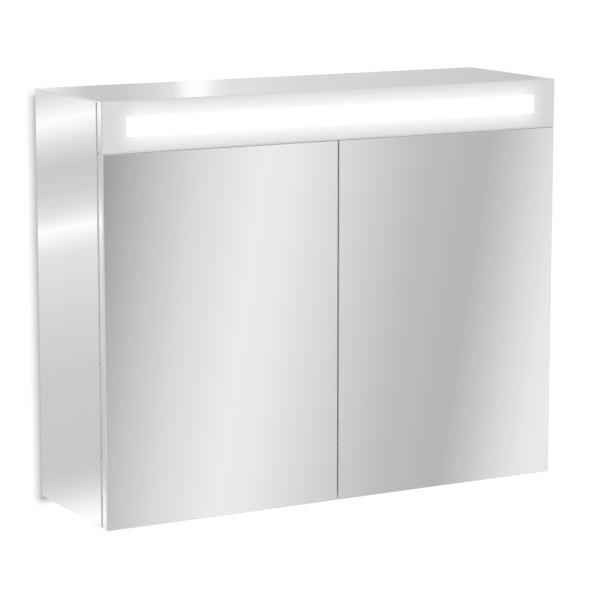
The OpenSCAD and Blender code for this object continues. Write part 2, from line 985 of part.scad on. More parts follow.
// The leaf on the carcass: two outer knuckles, a plate over the board's front edge and one inside
module frame_leaf() {
    for (end = BOTH) {
        mid_z = end * (knuckle_l + slip);
        translate([pin_x, pin_y, 0])
            rod_z(mid_z - knuckle_l / 2, mid_z + knuckle_l / 2, knuckle_r);
        block([inner_x - leaf_t, case_front_y - leaf_t, mid_z - knuckle_l / 2],
              [pin_x, case_front_y, mid_z + knuckle_l / 2]);
    }
    block([inner_x - leaf_t, case_front_y - leaf_t, -hinge_l / 2],
          [leaf_x, case_front_y, hinge_l / 2]);
    block([inner_x - leaf_t, case_front_y - leaf_t, -hinge_l / 2],
          [inner_x, case_front_y + frame_leaf_l, hinge_l / 2]);
}

module hinge_frame_leaves() {
    color("silver")
        from_bottom()
            for (side = BOTH)
                on_side(side)
                    difference() {
                        for (z = hinge_zs)
                            translate([0, 0, z])
                                frame_leaf();
                        pin_bores();
                        frame_leaf_screws(snug);
                    }
}

module hinge_frame_screws() {
    color("silver")
        from_bottom()
            for (side = BOTH)
                on_side(side) {
                    frame_leaf_screws(0);
                    for (z = hinge_zs, end = BOTH)
                        translate([0, frame_screw_y, z + end * leaf_screw_z])
                            rod_x(inner_x - leaf_t - small_head_t, inner_x - leaf_t, small_head_r);
                }
}

module hinge_pins() {
    color("silver")
        from_bottom()
            for (side = BOTH, z = hinge_zs)
                on_side(side)
                    translate([pin_x, pin_y, z]) {
                        rod_z(-hinge_l / 2, hinge_l / 2, pin_r);
                        for (end = BOTH)
                            translate([0, 0, end * (hinge_l + pin_head_t) / 2])
                                rod_z(-pin_head_t / 2, pin_head_t / 2, pin_head_r);
                    }
}

// The leaf on the door: the middle knuckle and a plate on the door's back
module door_leaf() {
    translate([pin_x, pin_y, 0])
        rod_z(-knuckle_l / 2, knuckle_l / 2, knuckle_r);
    block([side_x - door_leaf_w, door_back_y, -knuckle_l / 2],
          [pin_x, door_back_y + leaf_t, knuckle_l / 2]);
    block([side_x - door_leaf_w, door_back_y, -hinge_l / 2],
          [leaf_x, door_back_y + leaf_t, hinge_l / 2]);
}

// Small screws that hold the door leaves
module door_leaf_screws(fit) {
    for (z = hinge_zs, end = BOTH)
        translate([door_screw_x, 0, z + end * leaf_screw_z])
            rod_y(door_back_y + leaf_t - small_screw_l - fit, door_back_y + leaf_t, small_screw_r + fit);
}

module hinge_door_leaves(side) {
    color("silver")
        from_bottom()
            on_side(side)
                difference() {
                    for (z = hinge_zs)
                        translate([0, 0, z])
                            door_leaf();
                    pin_bores();
                    door_leaf_screws(snug);
                }
}

module hinge_door_leaves_left() hinge_door_leaves(LEFT);
module hinge_door_leaves_right() hinge_door_leaves(RIGHT);

module hinge_door_screws(side) {
    color("silver")
        from_bottom()
            on_side(side) {
                door_leaf_screws(0);
                for (z = hinge_zs, end = BOTH)
                    translate([door_screw_x, 0, z + end * leaf_screw_z])
                        rod_y(door_back_y + leaf_t, door_back_y + leaf_t + small_head_t, small_head_r);
            }
}

module hinge_door_screws_left() hinge_door_screws(LEFT);
module hinge_door_screws_right() hinge_door_screws(RIGHT);

// ---- doors ----

module door_core(side) {
    outline = [[door_x0, glass_back_y], [side_x, glass_back_y], [side_x, door_back_y - swing_chamfer],
               [side_x - swing_chamfer, door_back_y], [door_x0, door_back_y]];
    color("white")
        from_bottom()
            on_side(side)
                difference() {
                    linear_extrude(height = door_h)
                        polygon(outline);
                    inner_mirror_space(snug);
                    door_leaf_screws(snug);
                }
}

module door_core_left() door_core(LEFT);
module door_core_right() door_core(RIGHT);

module door_mirror(side) {
    color("lightsteelblue")
        from_bottom()
            on_side(side)
                block([door_x0, -cab_d, 0], [side_x, glass_back_y, door_h]);
}

module door_mirror_left() door_mirror(LEFT);
module door_mirror_right() door_mirror(RIGHT);

// The space of the mirror let into a door's back, grown by fit where it is cut as a pocket
module inner_mirror_space(fit) {
    block([door_x0 + border_x - fit, door_back_y - inner_mirror_t, border_z - fit],
          [side_x - border_x + fit, door_back_y + (fit > 0 ? past : 0), door_h - border_z + fit]);
}

module inner_mirror(side) {
    color("lightsteelblue")
        from_bottom()
            on_side(side)
                inner_mirror_space(0);
}

module inner_mirror_left() inner_mirror(LEFT);
module inner_mirror_right() inner_mirror(RIGHT);

module strike_plate(side) {
    color("silver")
        from_bottom()
            on_side(side)
                block([latch_x - strike_w / 2, door_back_y, latch_z - strike_h / 2],
                      [latch_x + strike_w / 2, door_back_y + strike_t, latch_z + strike_h / 2]);
}

module strike_plate_left() strike_plate(LEFT);
module strike_plate_right() strike_plate(RIGHT);

module door_bumpers(side) {
    color("gainsboro")
        from_bottom()
            on_side(side)
                for (z = bumper_zs)
                    translate([latch_x, 0, z])
                        rod_y(door_back_y, case_front_y - slip, bumper_r);
}

module door_bumpers_left() door_bumpers(LEFT);
module door_bumpers_right() door_bumpers(RIGHT);

side_panel_left();
side_panel_right();
side_mirror_left();
side_mirror_right();
bottom_panel();
top_panel();
centre_partition();
front_rail();
rear_batten();
back_panel();
electrics_cover();
electrics_cover_screws();
top_cover();
carcass_screws();
header_housing();
header_glass();
header_end_caps();
header_spacers();
header_screws();
light_diffuser();
led_board();
led_chips();
led_driver();
terminal_block();
wiring();
cable_gland();
wall_brackets();
hanger_bodies();
hanger_hooks();
hanger_screws();
shelf_left_lower();
shelf_left_upper();
shelf_right_lower();
shelf_right_upper();
shelf_pins();
switch_box();
switch_rocker();
latch_body_left();
latch_body_right();
latch_plunger_left();
latch_plunger_right();
hinge_frame_leaves();
hinge_frame_screws();
hinge_pins();
door_core_left();
door_mirror_left();
inner_mirror_left();
hinge_door_leaves_left();
hinge_door_screws_left();
strike_plate_left();
door_bumpers_left();
door_core_right();
door_mirror_right();
inner_mirror_right();
hinge_door_leaves_right();
hinge_door_screws_right();
strike_plate_right();
door_bumpers_right();
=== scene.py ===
"""Finishes, glass arrises, small fittings and a plain studio for a two-door mirror cabinet.

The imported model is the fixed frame: its pieces stay where they are and get their finish here, and what
is rebuilt here takes its size and place from them. Lengths are in metres. X runs to the right, the doors
face -Y, the wall is the plane Y = 0 and the wall brackets' screw line is Z = 0.
"""

import json
import math

import bmesh
import bpy
from bpy.props import FloatProperty, FloatVectorProperty, PointerProperty
from bpy.types import Node, NodeSocket, Operator, Panel, PropertyGroup
from mathutils import Matrix, Vector

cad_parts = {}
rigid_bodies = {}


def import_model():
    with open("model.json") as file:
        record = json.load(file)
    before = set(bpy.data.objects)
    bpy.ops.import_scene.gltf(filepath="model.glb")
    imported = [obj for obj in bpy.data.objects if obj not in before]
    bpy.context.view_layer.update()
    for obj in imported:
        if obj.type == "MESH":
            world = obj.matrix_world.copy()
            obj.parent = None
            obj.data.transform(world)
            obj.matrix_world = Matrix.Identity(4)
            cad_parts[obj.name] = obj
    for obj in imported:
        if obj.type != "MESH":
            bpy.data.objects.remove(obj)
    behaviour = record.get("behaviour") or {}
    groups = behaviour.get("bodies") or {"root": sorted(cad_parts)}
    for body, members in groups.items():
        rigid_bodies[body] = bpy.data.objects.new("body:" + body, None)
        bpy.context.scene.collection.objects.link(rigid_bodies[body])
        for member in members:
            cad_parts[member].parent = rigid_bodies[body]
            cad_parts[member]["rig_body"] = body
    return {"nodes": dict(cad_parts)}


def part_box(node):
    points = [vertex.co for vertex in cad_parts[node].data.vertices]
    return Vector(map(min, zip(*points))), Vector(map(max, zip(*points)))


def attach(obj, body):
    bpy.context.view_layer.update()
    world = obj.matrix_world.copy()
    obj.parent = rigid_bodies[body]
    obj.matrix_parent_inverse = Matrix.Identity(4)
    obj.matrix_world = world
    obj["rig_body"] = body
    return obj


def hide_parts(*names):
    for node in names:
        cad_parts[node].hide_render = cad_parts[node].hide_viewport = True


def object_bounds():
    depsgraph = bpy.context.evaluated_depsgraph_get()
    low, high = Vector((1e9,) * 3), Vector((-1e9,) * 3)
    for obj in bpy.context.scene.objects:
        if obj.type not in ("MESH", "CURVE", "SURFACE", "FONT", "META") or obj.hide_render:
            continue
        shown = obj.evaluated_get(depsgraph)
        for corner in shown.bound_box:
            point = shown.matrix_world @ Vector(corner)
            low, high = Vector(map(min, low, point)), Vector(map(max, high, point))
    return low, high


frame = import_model()
cad_low, cad_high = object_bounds()

bl_info = {
    "name": "Mirror cabinet finishes",
    "version": (1, 0, 0),
    "blender": (4, 5, 0),
    "location": "3D View > Sidebar > Cabinet",
    "description": "Finishes a two-door mirror cabinet around its packed frame and lights it in a studio",
    "category": "Object",
}

MM = 0.001
X, Y, Z = 0, 1, 2

# each side with its sign of X
SIDES = {"left": -1, "right": 1}

# points that lie closer than this to a plane are on it
NEAR = 0.01 * MM
# a face is square to an axis when its normal has this share of it
SQUARE = 0.99
# radii are the same when their ratio is below this
SAME = 1.02
# faces that meet at less than this are facets of one round surface
FACET = math.radians(20)
# faces that meet at more than this make an arris
SHARP = math.radians(60)


# ---- helpers for colours, nodes and meshes ----


def colour(code):
    """Turns an sRGB hex colour into a linear one with full alpha."""
    parts = [int(code[i : i + 2], 16) / 255 for i in (1, 3, 5)]
    return [p / 12.92 if p <= 0.04045 else ((p + 0.055) / 1.055) ** 2.4 for p in parts] + [1.0]


WHITE = colour("#FFFFFF")


def add(tree, kind, settings=None, *inputs):
    """Adds a node. Settings go to its ramp, sockets or properties by name, inputs to its sockets in order.

    A node that is given as a value stands for its first output.
    """
    node = tree.nodes.new(kind)
    given = dict(settings or {})
    stops = given.pop("stops", [])
    if stops:
        elements = node.color_ramp.elements
        elements.remove(elements[1])
        elements[0].position = stops[0][0]
        elements[0].color = colour(stops[0][1])
        for at, code in stops[1:]:
            elements.new(at).color = colour(code)
    for key, value in given.items():
        if key not in node.inputs:
            setattr(node, key, value)
    sockets = [(node.inputs[key], value) for key, value in given.items() if key in node.inputs]
    sockets += [(node.inputs[i], value) for i, value in enumerate(inputs) if value is not None]
    for socket, value in sockets:
        if isinstance(value, Node):
            value = value.outputs[0]
        if isinstance(value, NodeSocket):
            tree.links.new(value, socket)
        else:
            socket.default_value = value
    return node


def material(name, build):
    """Makes a material once. Build gets its tree and object coordinates, and returns the shader's node."""
    finish = bpy.data.materials.get(name)
    if finish:
        return finish
    finish = bpy.data.materials.new(name)
    finish.use_nodes = True
    tree = finish.node_tree
    tree.nodes.clear()
    place = add(tree, "ShaderNodeTexCoord").outputs["Object"]
    surface = build(tree, place)
    add(tree, "ShaderNodeOutputMaterial", None, surface)
    return finish


def give(names, finish):
    """Gives CAD nodes a finish."""
    for name in names:
        slots = frame["nodes"][name].data.materials
        slots.clear()
        slots.append(finish)


def body_of(name):
    """The body that a CAD node rides on."""
    return frame["nodes"][name]["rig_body"]


def both(name):
    """The left and the right node of a pair."""
    return [f"{name}_{side}" for side in SIDES]


def new_object(name, bm, materials):
    """Makes an object of a bmesh and puts it in the scene."""
    mesh = bpy.data.meshes.new(name)
    bm.to_mesh(mesh)
    bm.free()
    for finish in materials:
        mesh.materials.append(finish)
    obj = bpy.data.objects.new(name, mesh)
    bpy.context.scene.collection.objects.link(obj)
    return obj


def put(name, bm, body, materials, replaces=()):
    """Makes a piece of a bmesh, which rides on a body and may stand for CAD nodes."""
    for face in bm.faces:
        face.smooth = True
    for edge in bm.edges:
        edge.smooth = edge.calc_face_angle(math.pi) < FACET
    piece = new_object(name, bm, materials)
    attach(piece, body)
    if replaces:
        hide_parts(*replaces)


def stand_in(node, ending, bm, materials):
    """Stands a piece in the place of one CAD node, on its body."""
    put(f"{node}_{ending}", bm, body_of(node), materials, [node])


def add_box(bm, low, high):
    """Adds a box between two corners to a bmesh."""
    low, high = Vector(low), Vector(high)
    place = Matrix.Translation((low + high) / 2) @ Matrix.Diagonal((*(high - low), 1.0))
    bmesh.ops.create_cube(bm, size=1.0, matrix=place)


def soften(bm, edges, width, segments):
    """Bevels edges."""
    bmesh.ops.bevel(
        bm, geom=list(edges), offset=width, segments=segments, profile=0.5, affect="EDGES",
        material=-1, clamp_overlap=True,
    )


def merged_copy(name):
    """A bmesh of a CAD node, with its loose triangles merged into flat faces."""
    bm = bmesh.new()
    bm.from_mesh(frame["nodes"][name].data)
    bmesh.ops.remove_doubles(bm, verts=bm.verts, dist=0.002 * MM)
    bmesh.ops.dissolve_limit(bm, angle_limit=math.radians(0.5), verts=bm.verts, edges=bm.edges)
    return bm


def lies_at(item, axis, at):
    """Whether an edge or a face lies in a plane square to an axis."""
    return all(abs(vert.co[axis] - at) < NEAR for vert in item.verts)


def edges_at(bm, axis, at):
    """The edges that lie in a plane square to an axis."""
    return [edge for edge in bm.edges if lies_at(edge, axis, at)]


def outer_edges(bm, low, high):
    """The edges that lie on the arrises of a box, which are in two of its planes."""
    planes = [(axis, bound[axis]) for axis in (X, Y, Z) for bound in (low, high)]
    return [edge for edge in bm.edges if sum(lies_at(edge, axis, at) for axis, at in planes) >= 2]


def turned(bm, base, axis, outline):
    """Spins an outline of (radius, height) points about an axis. It is closed unless it ends on the axis."""
    steps = 24
    out = axis.orthogonal().normalized()
    verts = [bm.verts.new(base + out * radius + axis * height) for radius, height in outline]
    ends = verts[:1] if outline[-1][0] > 0 else []
    edges = [bm.edges.new(pair) for pair in zip(verts, verts[1:] + ends)]
    bmesh.ops.spin(
        bm, geom=verts + edges, cent=base, axis=axis, angle=2 * math.pi, steps=steps, use_merge=True
    )
    bmesh.ops.remove_doubles(bm, verts=bm.verts, dist=0.001 * MM)


def lying_on(face):
    """The place of a face's middle, with Z square to the face and Y as upright as it can be."""
    turn = face.normal.to_track_quat("Z", "Y").to_matrix().to_4x4()
    return Matrix.Translation(face.calc_center_median()) @ turn


def linked(face):
    """All vertices of the solid that a face belongs to."""
    found = set(face.verts)
    fresh = list(face.verts)
    while fresh:
        here = fresh.pop()
        for edge in here.link_edges:
            there = edge.other_vert(here)
            if there not in found:
                found.add(there)
                fresh.append(there)
    return found


def solid_heights(name):
    """The lowest and highest Z of a CAD node's solids, from the bottom up, with equal ones once."""
    bm = merged_copy(name)
    found = set()
    seen = set()
    for face in bm.faces:
        if face.verts[0] not in seen:
            solid = linked(face)
            seen |= solid
            heights = [vert.co.z for vert in solid]
            found.add((round(min(heights), 5), round(max(heights), 5)))
    bm.free()
    return sorted(found)


def round_ends(bm):
    """The flat round end faces of turned solids that are as wide as their solid, with their radius."""
    fewest_corners = 12
    found = []
    for face in bm.faces:
        if len(face.verts) < fewest_corners:
            continue
        middle = face.calc_center_median()
        radii = [(vert.co - middle).length for vert in face.verts]
        if max(radii) > SAME * min(radii):
            continue
        widest = max((vert.co - middle).cross(face.normal).length for vert in linked(face))
        if widest < SAME * max(radii):
            found.append((face, max(radii)))
    return found


def facing(bm, axis, index, other):
    """Gives the faces square to an axis one material slot, and all others another."""
    for face in bm.faces:
        face.material_index = index if abs(face.normal[axis]) > SQUARE else other


# ---- sizes and colours that a user may change ----


class StudioSettings(PropertyGroup):
    """The camera, the floor and the light around the cabinet."""

    azimuth: FloatProperty(
        name="Azimuth", description="Camera's turn to the left of the cabinet's front",
        default=math.radians(28.71), subtype="ANGLE",
    )
    elevation: FloatProperty(
        name="Elevation", description="Camera's height above the cabinet's middle, as an angle",
        default=math.radians(9.97), subtype="ANGLE",
    )
    distance: FloatProperty(
        name="Distance", description="From the camera to the point that it looks at",
        default=4.188, unit="LENGTH",
    )
    aim_drop: FloatProperty(
        name="Aim drop", description="How far below the cabinet's middle the camera looks",
        default=23 * MM, unit="LENGTH",
    )
    lens: FloatProperty(
        name="Lens", description="Focal length in millimetres, on a 36 mm sensor", default=156.5,
    )
    ambient: FloatProperty(
        name="Ambient light", description="Strength of the plain light from all round", default=0.84,
    )
    key_power: FloatProperty(
        name="Key lamp", description="Power of the soft lamp in front", default=28.0, unit="POWER",
    )
    floor_drop: FloatProperty(
        name="Floor drop", description="From the cabinet's underside to the floor",
        default=1.2, unit="LENGTH",
    )
    floor_radius: FloatProperty(
        name="Floor radius", description="Radius of the pale floor", default=1.6, unit="LENGTH",
    )
    wall_half: FloatProperty(
        name="Wall half width", description="Half the wall's width",
        default=0.6, unit="LENGTH",
    )


class GlassSettings(PropertyGroup):
    """The mirrors and their ground edges."""

    arris: FloatProperty(
        name="Arris", description="Width of the ground arris along the fixed glass panes' edges",
        default=0.35 * MM, unit="LENGTH",
    )
    door_arris: FloatProperty(
        name="Door arris", description="Width of the ground arris along the door mirrors' edges",
        default=0.7 * MM, unit="LENGTH",
    )
    silver: FloatVectorProperty(
        name="Silver", description="Colour of the silvering seen through the glass",
        default=colour("#F2F2F2"), size=4, subtype="COLOR",
    )
    edge: FloatVectorProperty(
        name="Edge", description="Colour of the ground glass edges",
        default=colour("#CFD0CF"), size=4, subtype="COLOR",
    )


class LightPanelSettings(PropertyGroup):
    """The lit panel above the doors."""

    glass: FloatVectorProperty(
        name="Glass", description="Colour of the panel's coated glass",
        default=colour("#DDDDDD"), size=4, subtype="COLOR",
    )
    glow_reach: FloatProperty(
        name="Glow reach", description="How far the glow spreads around the lit window",
        default=26 * MM, unit="LENGTH",
    )
    glow: FloatProperty(
        name="Glow", description="Strength of the glow beside the lit window", default=0.28,
    )


class ShelfSettings(PropertyGroup):
    """The glass shelves and the pins that they lie on."""

    arris: FloatProperty(
        name="Arris", description="Width of the polished arris along a shelf's edges",
        default=0.8 * MM, unit="LENGTH",
    )
    collar: FloatProperty(
        name="Collar", description="Radius of the collar that stops a shelf pin at the board",
        default=3.8 * MM, unit="LENGTH",
    )


class FittingSettings(PropertyGroup):
    """Screws, seals and softened edges."""

    board_edge: FloatProperty(
        name="Board edge", description="Radius of the boards' edges",
        default=0.6 * MM, unit="LENGTH",
    )
    moulded_edge: FloatProperty(
        name="Moulded edge", description="Radius of the plastic fittings' edges",
        default=0.4 * MM, unit="LENGTH",
    )
    cross_depth: FloatProperty(
        name="Cross depth", description="Depth of the cross in a screw head, as a share of its radius",
        default=0.3, subtype="FACTOR",
    )
    leaf_corner: FloatProperty(
        name="Leaf corner", description="Radius of the hinge leaves' corners",
        default=3 * MM, unit="LENGTH",
    )
    seal_gap: FloatProperty(
        name="Seal gap", description="Space between the seals and the doors",
        default=0.3 * MM, unit="LENGTH",
    )


SETTINGS = {
    "cabinet_studio": StudioSettings,
    "cabinet_glass": GlassSettings,
    "cabinet_light_panel": LightPanelSettings,
    "cabinet_shelves": ShelfSettings,
    "cabinet_fittings": FittingSettings,
}


# ---- materials: glass and mirror ----


def mottled(
    name, marks, looks, tones=(), rough=(), bump=(), kind="ShaderNodeTexNoise", output="Fac", **pattern
):
    """A finish whose tone, gloss or relief follows a pattern, given its marks' size along X, Y and Z.

    Looks are the sockets that are the same all over. Tones are a colour ramp's stops, rough is the least
    and the most roughness, bump a strength and a depth, and the rest are settings of the pattern's node.
    """

    def build(tree, place):
        scale = [1 / size for size in marks]
        sized = add(tree, "ShaderNodeMapping", {"Vector": place, "Scale": scale})
        share = add(tree, kind, {"Vector": sized, "Scale": 1.0, **pattern}).outputs[output]
        sockets = dict(looks)
        if tones:
            sockets["Base Color"] = add(tree, "ShaderNodeValToRGB", {"stops": tones}, share)
        if rough:
            about = {"To Min": rough[0], "To Max": rough[1]}
            sockets["Roughness"] = add(tree, "ShaderNodeMapRange", about, share)
        if bump:
            relief = {"Strength": bump[0], "Distance": bump[1], "Height": share}
            sockets["Normal"] = add(tree, "ShaderNodeBump", relief)
        return add(tree, "ShaderNodeBsdfPrincipled", sockets)

    return material(name, build)


def silvered_glass():
    """Silvered float glass: a hard neutral mirror, with the faintest haze where it was wiped."""
    silver = bpy.context.scene.cabinet_glass.silver
    # wipe marks about 60 mm across
    return mottled(
        "silvered_float_glass", [60 * MM] * 3, {"Base Color": silver, "Metallic": 1.0}, rough=(0.0, 0.012)
    )


def ground_glass_edge():
    """Ground glass edge: matt and pale grey, with the fine grit marks of the wheel."""
    edge = bpy.context.scene.cabinet_glass.edge
    # grit of about 0.4 mm, coarser than real so that it shows
    return mottled(
        "ground_glass_edge", [0.4 * MM] * 3, {"Base Color": edge, "Roughness": 0.35, "IOR": 1.52},
        bump=(0.25, 0.05 * MM), Detail=3.0,
    )


def coated_panel_glass():
    """Glass with a pale grey coat behind it: glossy, evenly toned, with a painted glow near its window where
    light from within would spill.
    """
    settings = bpy.context.scene.cabinet_light_panel
    low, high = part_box("light_diffuser")
    # the diffuser laps behind the glass by this much all round its window
    lap = 5 * MM
    half_w = high.x - lap
    half_h = (high.z - low.z) / 2 - lap
    mid_z = (high.z + low.z) / 2
    reach = settings.glow_reach

    def build(tree, place):
        at = add(tree, "ShaderNodeSeparateXYZ", None, place)
        across = add(tree, "ShaderNodeMath", {"operation": "ABSOLUTE"}, at.outputs["X"])
        up = add(tree, "ShaderNodeMath", {"operation": "SUBTRACT"}, at.outputs["Z"], mid_z)
        off_line = add(tree, "ShaderNodeMath", {"operation": "ABSOLUTE"}, up)
        # the painted glow is full beside the window and gone one reach away from it, but half as bright at
        # the window's ends, as the light comes from one side only there
        glow = settings.glow
        for measure, kind, none, full in (
            (off_line, "LINEAR", half_h + reach, half_h),
            (across, "SMOOTHSTEP", half_w + reach, half_w - reach),
        ):
            spread = {"interpolation_type": kind, "From Min": none, "From Max": full}
            share = add(tree, "ShaderNodeMapRange", spread, measure)
            glow = add(tree, "ShaderNodeMath", {"operation": "MULTIPLY"}, glow, share)
        looks = {"Base Color": settings.glass, "Roughness": 0.12, "IOR": 1.52}
        glows = {"Emission Color": WHITE, "Emission Strength": glow}
        return add(tree, "ShaderNodeBsdfPrincipled", {**looks, **glows})

    return material("coated_panel_glass", build)


def opal_acrylic():
    """Opal acrylic lit from behind: even white with no visible chips."""
    # the white filler clouds it over about 2 mm
    looks = {"Roughness": 0.3, "IOR": 1.49, "Emission Color": WHITE, "Emission Strength": 1.0}
    return mottled("opal_acrylic", [2 * MM] * 3, looks, tones=[(0.0, "#FCFCFB"), (1.0, "#FFFFFF")])


def shelf_float_glass():
    """Clear float glass, 6 mm: hardly tinted through its faces, with faint smears that dull it."""
    # smears about 50 mm across
    looks = {"Base Color": colour("#F4FAF7"), "IOR": 1.52, "Transmission Weight": 1.0}
    return mottled("clear_float_glass", [50 * MM] * 3, looks, rough=(0.0, 0.03), Detail=3.0)


def shelf_glass_edge():
    """Polished float glass edge: glossy and sea green, where light comes out that ran along the glass."""
    # the green drifts over about 30 mm
    looks = {"Roughness": 0.08, "IOR": 1.52, "Transmission Weight": 0.4}
    return mottled("polished_glass_edge", [30 * MM] * 3, looks, tones=[(0.3, "#8DBBA9"), (0.7, "#A6CCBD")])


# ---- materials: metals ----


def polished_aluminium():
    """Polished and anodised aluminium: nearly a mirror, with the faintest lines along its length."""
    # drawing lines 1 mm apart and a third of a metre long
    looks = {"Base Color": colour("#F1F1F1"), "Metallic": 1.0}
    return mottled("polished_aluminium", (1 / 3, 1 * MM, 1 / 3), looks, rough=(0.01, 0.04), Detail=1.0)


def mill_aluminium():
    """Extruded aluminium, mill finish: soft grey sheen broken up by die lines along the profile."""
    # die lines 0.8 mm apart, which run along X
    return mottled(
        "mill_aluminium", (250 * MM, 0.8 * MM, 0.8 * MM), {"Metallic": 1.0},
        tones=[(0.3, "#BFC2C4"), (0.7, "#CED0D1")], rough=(0.28, 0.42),
    )


def nickel_plate():
    """Nickel-plated steel: warm bright metal, faintly uneven in gloss."""
    # rolling marks under the plating, about 15 mm across
    return mottled(
        "nickel_plated_steel", [15 * MM] * 3, {"Metallic": 1.0},
        tones=[(0.3, "#D5D3CF"), (0.7, "#DDDBD7")], rough=(0.2, 0.27), Detail=1.0,
    )


def zinc_plate():
    """Bright zinc-plated steel: blue-grey, with flat crystals a few millimetres across."""
    return mottled(
        "zinc_plated_steel", [4 * MM] * 3, {"Metallic": 1.0}, tones=[(0.0, "#A9AFB5"), (1.0, "#C3C8CC")],
        rough=(0.3, 0.45), kind="ShaderNodeTexVoronoi", output="Color",
    )


def ground_steel():
    """Ground steel pin: bright, with rings left by the grinding wheel."""
    # rings 0.5 mm apart along the pin
    looks = {"Base Color": colour("#C4C5C7"), "Metallic": 1.0}
    return mottled("ground_steel", (100 * MM, 100 * MM, 0.5 * MM), looks, rough=(0.15, 0.3))


# ---- materials: boards, plastics and the rest ----


def pressed_surface(name, tones, rough, grain, depth, drift):
    """A surface pressed or moulded against a textured plate, with a slow drift between two tones."""
    spread = 0.05

    def build(tree, place):
        clouds = add(tree, "ShaderNodeTexNoise", {"Vector": place, "Scale": 1 / drift}).outputs["Fac"]
        stops = list(zip((0.3, 0.7), tones))
        tone = add(tree, "ShaderNodeValToRGB", {"stops": stops}, clouds)
        pearls = add(tree, "ShaderNodeTexNoise", {"Vector": place, "Scale": 1 / grain}).outputs["Fac"]
        relief = {"Strength": 0.4, "Distance": depth, "Height": pearls}
        bump = add(tree, "ShaderNodeBump", relief)
        about = {"To Min": rough - spread, "To Max": rough + spread}
        gloss = add(tree, "ShaderNodeMapRange", about, pearls)
        looks = {"Base Color": tone, "Roughness": gloss, "IOR": 1.5, "Normal": bump}
        return add(tree, "ShaderNodeBsdfPrincipled", looks)

    return material(name, build)


def white_melamine():
    """White melamine board: pearl texture of about 1 mm from the press plate."""
    tones = ("#F0F0EF", "#F4F4F3")
    return pressed_surface("white_melamine", tones, 0.42, 1.0 * MM, 0.04 * MM, 150 * MM)


def painted_hardboard():
    """White painted hardboard: duller than the boards, with the screen's weave of 1.5 mm."""
    tones = ("#E5E5E4", "#ECECEB")
    return pressed_surface("painted_hardboard", tones, 0.6, 1.5 * MM, 0.1 * MM, 200 * MM)


def satin_lacquer():
    """Satin lacquer on the doors' backs: smooth, with an orange peel of about 2 mm."""
    tones = ("#F1F1EF", "#F5F5F4")
    return pressed_surface("satin_lacquer", tones, 0.3, 2.0 * MM, 0.03 * MM, 300 * MM)


def white_abs():
    """Moulded white ABS: satin, with a fine spark-eroded texture of 0.5 mm."""
    tones = ("#E9E9E5", "#F0F0EC")
    return pressed_surface("moulded_white_abs", tones, 0.48, 0.5 * MM, 0.03 * MM, 50 * MM)


def grey_polyamide():
    """Moulded grey polyamide for the gland, the spacers and the switch's marks: matt, faintly mottled."""
    tones = ("#6F7376", "#7B7F82")
    return pressed_surface("moulded_grey_polyamide", tones, 0.5, 0.6 * MM, 0.04 * MM, 20 * MM)


def abs_edging():
    """ABS edging on the boards' front edges: a shade glossier than the boards, with a slow waviness."""
    tones = ("#F2F2F1", "#F6F6F5")
    return pressed_surface("abs_edging", tones, 0.3, 3.0 * MM, 0.02 * MM, 100 * MM)


def soft_seal():
    """Soft white PVC seal: matt, a little uneven from the extruder."""
    tones = ("#DEDEDD", "#E4E4E3")
    return pressed_surface("soft_pvc_seal", tones, 0.55, 1.2 * MM, 0.03 * MM, 80 * MM)


def wire_sheath():
    """PVC wire sheath: pale grey and slightly waxy."""
    tones = ("#D5D6D4", "#DDDEDC")
    return pressed_surface("pvc_sheath", tones, 0.35, 0.8 * MM, 0.02 * MM, 30 * MM)


def clear_rubber():
    """Clear polyurethane bumper: soft, milky and a little glossy."""
    # milky clouds of about 2 mm
    looks = {"Roughness": 0.25, "IOR": 1.48, "Transmission Weight": 0.25}
    return mottled("clear_polyurethane", [2 * MM] * 3, looks, tones=[(0.3, "#E2E4E2"), (0.7, "#F0F1EF")])


def solder_mask():
    """White solder mask over copper: the tracks show as faint raised lines along the strip."""
    # the pattern's waves are 0.31 of its size, so the tracks repeat about every 2 mm
    return mottled(
        "white_solder_mask", [6 * MM] * 3, {"Roughness": 0.35},
        tones=[(0.45, "#F4F4F0"), (0.55, "#E3E0D2")], bump=(0.5, 0.04 * MM),
        kind="ShaderNodeTexWave", bands_direction="Z",
    )


def light_phosphor():
    """Lit phosphor of the light chips: warm yellow that glows white."""
    # grains of about 0.5 mm, coarser than real so that they show
    looks = {"Roughness": 0.4, "Emission Color": colour("#FFF6E0"), "Emission Strength": 2.0}
    return mottled("lit_phosphor", [0.5 * MM] * 3, looks, tones=[(0.3, "#F0DC7A"), (0.7, "#F6E79A")])


# ---- studio ----

# What the mirrors see round the cabinet: soft bands of light and shade in patterns that repeat. Each
# step is (share of the pattern, tone). The tall bands in front of the cabinet come first.
FRONT_BANDS = [
    (0.0, "#A1A1A1"), (0.10, "#C7C7C7"), (0.175, "#DBDBDB"), (0.285, "#ECECEC"), (0.335, "#EBEBEB"),
    (0.465, "#D5D5D5"), (0.58, "#C0C0C0"), (0.66, "#B9B9B9"), (0.70, "#B8B8B8"), (0.75, "#C8C8C8"),
    (0.80, "#DBDBDB"), (0.845, "#E7E7E7"), (0.885, "#ECECEC"), (1.0, "#A1A1A1"),
]
# behind the cabinet and above the horizon, tall as well
TOP_BANDS = [
    (0.0, "#EBEBEB"), (0.05, "#D6D6D6"), (0.10, "#C3C3C3"), (0.14, "#C2C2C2"), (0.21, "#D0D0D0"),
    (0.25, "#DADADA"), (0.27, "#EEEEEE"), (0.285, "#F7F7F7"), (0.31, "#F5F5F5"), (0.33, "#E3E3E3"),
    (0.355, "#DBDBDB"), (0.48, "#D3D3D3"), (0.67, "#CCCCCC"), (0.90, "#C2C2C2"), (1.0, "#EBEBEB"),
]
